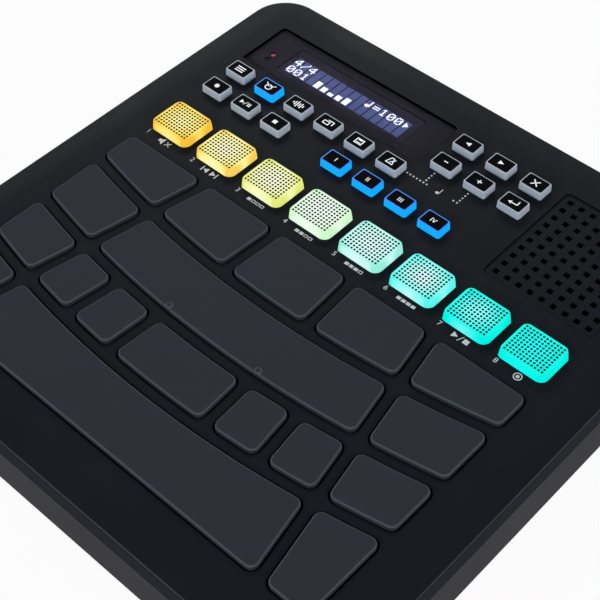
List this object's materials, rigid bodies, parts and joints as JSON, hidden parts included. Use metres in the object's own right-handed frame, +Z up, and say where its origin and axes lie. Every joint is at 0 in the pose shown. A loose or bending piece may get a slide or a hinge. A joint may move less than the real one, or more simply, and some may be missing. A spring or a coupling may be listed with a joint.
{
  "type": "finger drum pad",
  "caption": "Free-standing square finger drum instrument with curved rows of rubber pads, glowing pads, push buttons, a character display and a speaker grille.",
  "frame": {"origin": "centre of the body's plan on the surface the rubber feet stand on", "axes": "+X to the player's right, +Y to the back, +Z up"},
  "size_m": [0.255, 0.259, 0.0559],
  "materials": {
    "case_plastic": "fine spark-eroded texture, near-black grey",
    "tub_plastic": "fine spark-eroded texture, mid grey",
    "pad_rubber": "matt moulded silicone rubber, dark grey",
    "lit_silicone": "translucent silicone rubber lit from below, each pad in its own colour",
    "button_silicone": "translucent grey silicone rubber with black printed tops",
    "button_lit": "translucent silicone rubber lit blue from below, black printed tops",
    "window_plastic": "smoked clear sheet",
    "lcd_glass": "backlit character display",
    "circuit_board": "green solder mask on glass laminate",
    "speaker_frame": "black lacquered frame",
    "battery_wrap": "shrink wrap",
    "jack_plastic": "moulded black",
    "socket_steel": "drawn shell",
    "control_plastic": "moulded grey",
    "foot_rubber": "matt black",
    "screw_steel": "zinc plated",
    "dial_plastic": "moulded dark grey",
    "power_plastic": "moulded light grey"
  },
  "bodies": {
    "case": {"top_case": "case_plastic", "bottom_case": "tub_plastic", "display_window": "window_plastic", "lcd_module": "lcd_glass", "panel_board": "circuit_board", "main_board": "circuit_board", "speaker": "speaker_frame", "battery_pack": "battery_wrap", "audio_jacks": "jack_plastic", "usb_socket": "socket_steel", "rear_controls": "control_plastic", "rubber_feet": "foot_rubber", "case_screws": "screw_steel"},
    "drum_pad_back_1": {"drum_pad_back_1": "pad_rubber"},
    "drum_pad_back_2": {"drum_pad_back_2": "pad_rubber"},
    "drum_pad_back_3": {"drum_pad_back_3": "pad_rubber"},
    "drum_pad_back_4": {"drum_pad_back_4": "pad_rubber"},
    "drum_pad_back_5": {"drum_pad_back_5": "pad_rubber"},
    "drum_pad_left_1": {"drum_pad_left_1": "pad_rubber"},
    "drum_pad_left_2": {"drum_pad_left_2": "pad_rubber"},
    "drum_pad_left_3": {"drum_pad_left_3": "pad_rubber"},
    "drum_pad_right_1": {"drum_pad_right_1": "pad_rubber"},
    "drum_pad_right_2": {"drum_pad_right_2": "pad_rubber"},
    "drum_pad_right_3": {"drum_pad_right_3": "pad_rubber"},
    "drum_pad_inner_1": {"drum_pad_inner_1": "pad_rubber"},
    "drum_pad_inner_2": {"drum_pad_inner_2": "pad_rubber"},
    "drum_pad_inner_3": {"drum_pad_inner_3": "pad_rubber"},
    "drum_pad_inner_4": {"drum_pad_inner_4": "pad_rubber"},
    "drum_pad_inner_5": {"drum_pad_inner_5": "pad_rubber"},
    "drum_pad_middle": {"drum_pad_middle": "pad_rubber"},
    "drum_pad_front": {"drum_pad_front": "pad_rubber"},
    "lit_pad_1": {"lit_pad_1": "lit_silicone"},
    "lit_pad_2": {"lit_pad_2": "lit_silicone"},
    "lit_pad_3": {"lit_pad_3": "lit_silicone"},
    "lit_pad_4": {"lit_pad_4": "lit_silicone"},
    "lit_pad_5": {"lit_pad_5": "lit_silicone"},
    "lit_pad_6": {"lit_pad_6": "lit_silicone"},
    "lit_pad_7": {"lit_pad_7": "lit_silicone"},
    "lit_pad_8": {"lit_pad_8": "lit_silicone"},
    "menu_button": {"menu_button": "button_silicone"},
    "kit_button": {"kit_button": "button_lit"},
    "audio_button": {"audio_button": "button_silicone"},
    "session_button": {"session_button": "button_silicone"},
    "register_button": {"register_button": "button_silicone"},
    "click_button": {"click_button": "button_silicone"},
    "record_button": {"record_button": "button_silicone"},
    "play_button": {"play_button": "button_silicone"},
    "stop_button": {"stop_button": "button_silicone"},
    "bank_button_1": {"bank_button_1": "button_lit"},
    "bank_button_2": {"bank_button_2": "button_lit"},
    "bank_button_3": {"bank_button_3": "button_lit"},
    "bank_button_4": {"bank_button_4": "button_lit"},
    "left_button": {"left_button": "button_silicone"},
    "right_button": {"right_button": "button_silicone"},
    "exit_button": {"exit_button": "button_silicone"},
    "minus_button": {"minus_button": "button_silicone"},
    "plus_button": {"plus_button": "button_silicone"},
    "enter_button": {"enter_button": "button_silicone"},
    "power_button": {"power_button": "power_plastic"},
    "volume_dial": {"volume_dial": "dial_plastic"}
  },
  "joints": [
    {"name": "power_button_press", "type": "slide", "parent": "case", "child": "power_button", "axis": [0, -1, 0], "range_m": [0, 0.0012], "stiffness_N_per_m": 800, "springref_m": -0.0005},
    {"name": "volume_dial_turn", "type": "hinge", "parent": "case", "child": "volume_dial", "pos_m": [0.082, 0.1202, 0.03035], "axis": [0, 0, 1], "range_deg": [-140, 140]},
    {"name": "drum_pad_back_1_press", "type": "slide", "parent": "case", "child": "drum_pad_back_1", "axis": [0, 0, -1], "range_m": [0, 0.0005], "stiffness_N_per_m": 3000, "springref_m": -0.0004},
    {"name": "drum_pad_back_2_press", "type": "slide", "parent": "case", "child": "drum_pad_back_2", "axis": [0, 0, -1], "range_m": [0, 0.0005], "stiffness_N_per_m": 3000, "springref_m": -0.0004},
    {"name": "drum_pad_back_3_press", "type": "slide", "parent": "case", "child": "drum_pad_back_3", "axis": [0, 0, -1], "range_m": [0, 0.0005], "stiffness_N_per_m": 3000, "springref_m": -0.0004},
    {"name": "drum_pad_back_4_press", "type": "slide", "parent": "case", "child": "drum_pad_back_4", "axis": [0, 0, -1], "range_m": [0, 0.0005], "stiffness_N_per_m": 3000, "springref_m": -0.0004},
    {"name": "drum_pad_back_5_press", "type": "slide", "parent": "case", "child": "drum_pad_back_5", "axis": [0, 0, -1], "range_m": [0, 0.0005], "stiffness_N_per_m": 3000, "springref_m": -0.0004},
    {"name": "drum_pad_left_1_press", "type": "slide", "parent": "case", "child": "drum_pad_left_1", "axis": [0, 0, -1], "range_m": [0, 0.0005], "stiffness_N_per_m": 3000, "springref_m": -0.0004},
    {"name": "drum_pad_left_2_press", "type": "slide", "parent": "case", "child": "drum_pad_left_2", "axis": [0, 0, -1], "range_m": [0, 0.0005], "stiffness_N_per_m": 3000, "springref_m": -0.0004},
    {"name": "drum_pad_left_3_press", "type": "slide", "parent": "case", "child": "drum_pad_left_3", "axis": [0, 0, -1], "range_m": [0, 0.0005], "stiffness_N_per_m": 3000, "springref_m": -0.0004},
    {"name": "drum_pad_right_1_press", "type": "slide", "parent": "case", "child": "drum_pad_right_1", "axis": [0, 0, -1], "range_m": [0, 0.0005], "stiffness_N_per_m": 3000, "springref_m": -0.0004},
    {"name": "drum_pad_right_2_press", "type": "slide", "parent": "case", "child": "drum_pad_right_2", "axis": [0, 0, -1], "range_m": [0, 0.0005], "stiffness_N_per_m": 3000, "springref_m": -0.0004},
    {"name": "drum_pad_right_3_press", "type": "slide", "parent": "case", "child": "drum_pad_right_3", "axis": [0, 0, -1], "range_m": [0, 0.0005], "stiffness_N_per_m": 3000, "springref_m": -0.0004},
    {"name": "drum_pad_inner_1_press", "type": "slide", "parent": "case", "child": "drum_pad_inner_1", "axis": [0, 0, -1], "range_m": [0, 0.0005], "stiffness_N_per_m": 3000, "springref_m": -0.0004},
    {"name": "drum_pad_inner_2_press", "type": "slide", "parent": "case", "child": "drum_pad_inner_2", "axis": [0, 0, -1], "range_m": [0, 0.0005], "stiffness_N_per_m": 3000, "springref_m": -0.0004},
    {"name": "drum_pad_inner_3_press", "type": "slide", "parent": "case", "child": "drum_pad_inner_3", "axis": [0, 0, -1], "range_m": [0, 0.0005], "stiffness_N_per_m": 3000, "springref_m": -0.0004},
    {"name": "drum_pad_inner_4_press", "type": "slide", "parent": "case", "child": "drum_pad_inner_4", "axis": [0, 0, -1], "range_m": [0, 0.0005], "stiffness_N_per_m": 3000, "springref_m": -0.0004},
    {"name": "drum_pad_inner_5_press", "type": "slide", "parent": "case", "child": "drum_pad_inner_5", "axis": [0, 0, -1], "range_m": [0, 0.0005], "stiffness_N_per_m": 3000, "springref_m": -0.0004},
    {"name": "drum_pad_middle_press", "type": "slide", "parent": "case", "child": "drum_pad_middle", "axis": [0, 0, -1], "range_m": [0, 0.0005], "stiffness_N_per_m": 3000, "springref_m": -0.0004},
    {"name": "drum_pad_front_press", "type": "slide", "parent": "case", "child": "drum_pad_front", "axis": [0, 0, -1], "range_m": [0, 0.0005], "stiffness_N_per_m": 3000, "springref_m": -0.0004},
    {"name": "lit_pad_1_press", "type": "slide", "parent": "case", "child": "lit_pad_1", "axis": [0, 0, -1], "range_m": [0, 0.0006], "stiffness_N_per_m": 1500, "springref_m": -0.0004},
    {"name": "lit_pad_2_press", "type": "slide", "parent": "case", "child": "lit_pad_2", "axis": [0, 0, -1], "range_m": [0, 0.0006], "stiffness_N_per_m": 1500, "springref_m": -0.0004},
    {"name": "lit_pad_3_press", "type": "slide", "parent": "case", "child": "lit_pad_3", "axis": [0, 0, -1], "range_m": [0, 0.0006], "stiffness_N_per_m": 1500, "springref_m": -0.0004},
    {"name": "lit_pad_4_press", "type": "slide", "parent": "case", "child": "lit_pad_4", "axis": [0, 0, -1], "range_m": [0, 0.0006], "stiffness_N_per_m": 1500, "springref_m": -0.0004},
    {"name": "lit_pad_5_press", "type": "slide", "parent": "case", "child": "lit_pad_5", "axis": [0, 0, -1], "range_m": [0, 0.0006], "stiffness_N_per_m": 1500, "springref_m": -0.0004},
    {"name": "lit_pad_6_press", "type": "slide", "parent": "case", "child": "lit_pad_6", "axis": [0, 0, -1], "range_m": [0, 0.0006], "stiffness_N_per_m": 1500, "springref_m": -0.0004},
    {"name": "lit_pad_7_press", "type": "slide", "parent": "case", "child": "lit_pad_7", "axis": [0, 0, -1], "range_m": [0, 0.0006], "stiffness_N_per_m": 1500, "springref_m": -0.0004},
    {"name": "lit_pad_8_press", "type": "slide", "parent": "case", "child": "lit_pad_8", "axis": [0, 0, -1], "range_m": [0, 0.0006], "stiffness_N_per_m": 1500, "springref_m": -0.0004},
    {"name": "menu_button_press", "type": "slide", "parent": "case", "child": "menu_button", "axis": [0, 0, -1], "range_m": [0, 0.0008], "stiffness_N_per_m": 1000, "springref_m": -0.0005},
    {"name": "kit_button_press", "type": "slide", "parent": "case", "child": "kit_button", "axis": [0, 0, -1], "range_m": [0, 0.0008], "stiffness_N_per_m": 1000, "springref_m": -0.0005},
    {"name": "audio_button_press", "type": "slide", "parent": "case", "child": "audio_button", "axis": [0, 0, -1], "range_m": [0, 0.0008], "stiffness_N_per_m": 1000, "springref_m": -0.0005},
    {"name": "session_button_press", "type": "slide", "parent": "case", "child": "session_button", "axis": [0, 0, -1], "range_m": [0, 0.0008], "stiffness_N_per_m": 1000, "springref_m": -0.0005},
    {"name": "register_button_press", "type": "slide", "parent": "case", "child": "register_button", "axis": [0, 0, -1], "range_m": [0, 0.0008], "stiffness_N_per_m": 1000, "springref_m": -0.0005},
    {"name": "click_button_press", "type": "slide", "parent": "case", "child": "click_button", "axis": [0, 0, -1], "range_m": [0, 0.0008], "stiffness_N_per_m": 1000, "springref_m": -0.0005},
    {"name": "record_button_press", "type": "slide", "parent": "case", "child": "record_button", "axis": [0, 0, -1], "range_m": [0, 0.0008], "stiffness_N_per_m": 1000, "springref_m": -0.0005},
    {"name": "play_button_press", "type": "slide", "parent": "case", "child": "play_button", "axis": [0, 0, -1], "range_m": [0, 0.0008], "stiffness_N_per_m": 1000, "springref_m": -0.0005},
    {"name": "stop_button_press", "type": "slide", "parent": "case", "child": "stop_button", "axis": [0, 0, -1], "range_m": [0, 0.0008], "stiffness_N_per_m": 1000, "springref_m": -0.0005},
    {"name": "bank_button_1_press", "type": "slide", "parent": "case", "child": "bank_button_1", "axis": [0, 0, -1], "range_m": [0, 0.0008], "stiffness_N_per_m": 1000, "springref_m": -0.0005},
    {"name": "bank_button_2_press", "type": "slide", "parent": "case", "child": "bank_button_2", "axis": [0, 0, -1], "range_m": [0, 0.0008], "stiffness_N_per_m": 1000, "springref_m": -0.0005},
    {"name": "bank_button_3_press", "type": "slide", "parent": "case", "child": "bank_button_3", "axis": [0, 0, -1], "range_m": [0, 0.0008], "stiffness_N_per_m": 1000, "springref_m": -0.0005},
    {"name": "bank_button_4_press", "type": "slide", "parent": "case", "child": "bank_button_4", "axis": [0, 0, -1], "range_m": [0, 0.0008], "stiffness_N_per_m": 1000, "springref_m": -0.0005},
    {"name": "left_button_press", "type": "slide", "parent": "case", "child": "left_button", "axis": [0, 0, -1], "range_m": [0, 0.0008], "stiffness_N_per_m": 1000, "springref_m": -0.0005},
    {"name": "right_button_press", "type": "slide", "parent": "case", "child": "right_button", "axis": [0, 0, -1], "range_m": [0, 0.0008], "stiffness_N_per_m": 1000, "springref_m": -0.0005},
    {"name": "exit_button_press", "type": "slide", "parent": "case", "child": "exit_button", "axis": [0, 0, -1], "range_m": [0, 0.0008], "stiffness_N_per_m": 1000, "springref_m": -0.0005},
    {"name": "minus_button_press", "type": "slide", "parent": "case", "child": "minus_button", "axis": [0, 0, -1], "range_m": [0, 0.0008], "stiffness_N_per_m": 1000, "springref_m": -0.0005},
    {"name": "plus_button_press", "type": "slide", "parent": "case", "child": "plus_button", "axis": [0, 0, -1], "range_m": [0, 0.0008], "stiffness_N_per_m": 1000, "springref_m": -0.0005},
    {"name": "enter_button_press", "type": "slide", "parent": "case", "child": "enter_button", "axis": [0, 0, -1], "range_m": [0, 0.0008], "stiffness_N_per_m": 1000, "springref_m": -0.0005}
  ]
}
